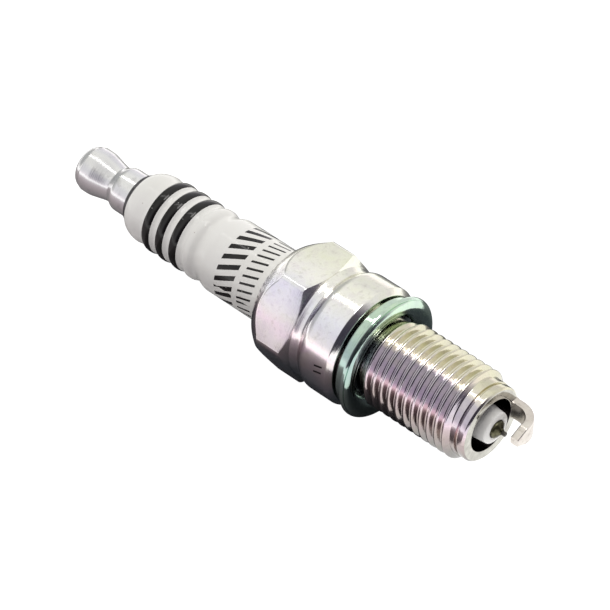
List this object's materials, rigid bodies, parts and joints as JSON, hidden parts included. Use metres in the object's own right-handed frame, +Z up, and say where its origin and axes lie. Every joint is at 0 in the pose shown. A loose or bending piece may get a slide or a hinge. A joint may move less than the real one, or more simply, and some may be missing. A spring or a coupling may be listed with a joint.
{
  "type": "spark plug",
  "caption": "Spark plug with threaded shell, hexagon, folded gasket, ribbed ceramic insulator, fine-wire electrode, hooked ground electrode and screw-on terminal nut.",
  "frame": {"origin": "under the middle of the plug's length, on the surface that the plug lies on with its gasket", "axes": "+X along the plug's axis towards the firing end, +Z up through the middle of one hexagon flat"},
  "size_m": [0.073, 0.018, 0.0167],
  "materials": {
    "zinc_plated_steel": "bright zinc plate with a clear iridescent passivation, pale green to lilac",
    "gasket_steel": "bright plated sheet with a faint green tint",
    "glazed_alumina": "white glossy glaze with black printed rings and bars",
    "terminal_metal": "bright turned and polished",
    "dark_steel": "dark oxidised steel",
    "copper_glass": "fused copper and glass powder",
    "carbon_glass": "fused carbon and glass powder",
    "nickel_alloy": "dull nickel alloy",
    "copper": "plain copper",
    "iridium": "drawn fine wire",
    "packing_steel": "plain drawn wire",
    "talc": "pressed powder",
    "ground_nickel": "satin nickel alloy, warm silver"
  },
  "bodies": {
    "plug": {"shell": "zinc_plated_steel", "insulator": "glazed_alumina", "terminal_stud": "dark_steel", "upper_glass_seal": "copper_glass", "resistor": "carbon_glass", "lower_glass_seal": "copper_glass", "centre_electrode": "nickel_alloy", "copper_core": "copper", "fine_wire_tip": "iridium", "upper_packing_ring": "packing_steel", "talc_filling": "talc", "lower_packing_ring": "packing_steel", "insulator_seat_washer": "packing_steel", "ground_electrode": "ground_nickel"},
    "terminal_nut": {"terminal_nut": "terminal_metal"},
    "gasket": {"gasket": "gasket_steel"}
  },
  "joints": [
    {"name": "terminal_nut_off", "type": "slide", "parent": "plug", "child": "terminal_nut", "axis": [-1, 0, 0], "range_m": [0, 0.009]},
    {"name": "gasket_float", "type": "slide", "parent": "plug", "child": "gasket", "axis": [1, 0, 0], "range_m": [-0.0004, 0.0001]}
  ]
}
